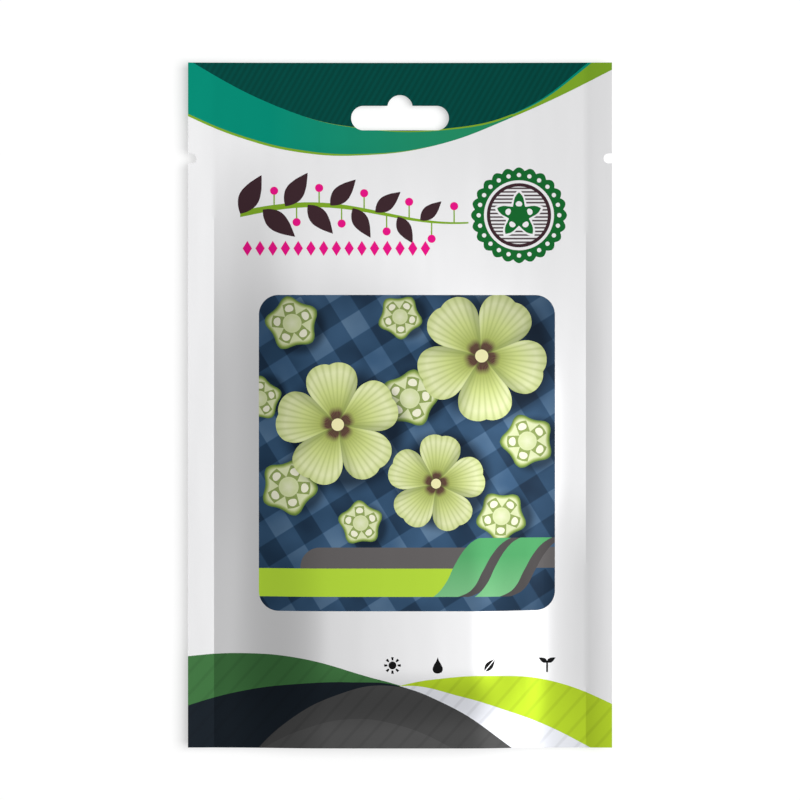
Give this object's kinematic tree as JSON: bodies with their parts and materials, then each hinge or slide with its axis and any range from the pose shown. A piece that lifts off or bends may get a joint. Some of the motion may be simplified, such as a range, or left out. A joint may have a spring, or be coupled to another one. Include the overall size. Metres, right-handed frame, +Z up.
{
  "type": "seed packet",
  "caption": "Flat laminated foil seed packet, heat-sealed all round, with a hang slot and tear notches, printed on the front, with loose okra seeds inside, lying on its back.",
  "frame": {"origin": "on the surface that the packet lies on, under the middle of its outline", "axes": "+Z up, out of the printed face; +Y along the packet to the header with the hang slot; +X to the right as the front is read"},
  "size_m": [0.13, 0.21, 0.0114],
  "materials": {
    "front_film": "satin white laminate film, printed in greens, navy, grey and lime",
    "back_film": "satin white laminate film, printed at the head and foot",
    "seed_coat": "dry seed coat, dark grey-green and dull"
  },
  "bodies": {
    "root": {"front_film": "front_film", "back_film": "back_film", "seed_01": "seed_coat", "seed_02": "seed_coat", "seed_03": "seed_coat", "seed_04": "seed_coat", "seed_05": "seed_coat", "seed_06": "seed_coat", "seed_07": "seed_coat", "seed_08": "seed_coat", "seed_09": "seed_coat", "seed_10": "seed_coat", "seed_11": "seed_coat", "seed_12": "seed_coat", "seed_13": "seed_coat", "seed_14": "seed_coat", "seed_15": "seed_coat", "seed_16": "seed_coat", "seed_17": "seed_coat", "seed_18": "seed_coat", "seed_19": "seed_coat", "seed_20": "seed_coat", "seed_21": "seed_coat", "seed_22": "seed_coat", "seed_23": "seed_coat", "seed_24": "seed_coat", "seed_25": "seed_coat", "seed_26": "seed_coat", "seed_27": "seed_coat", "seed_28": "seed_coat", "seed_29": "seed_coat", "seed_30": "seed_coat", "seed_31": "seed_coat", "seed_32": "seed_coat", "seed_33": "seed_coat", "seed_34": "seed_coat", "seed_35": "seed_coat", "seed_36": "seed_coat", "seed_37": "seed_coat", "seed_38": "seed_coat", "seed_39": "seed_coat", "seed_40": "seed_coat", "seed_41": "seed_coat", "seed_42": "seed_coat", "seed_43": "seed_coat", "seed_44": "seed_coat", "seed_45": "seed_coat", "seed_46": "seed_coat"}
  },
  "joints": []
}
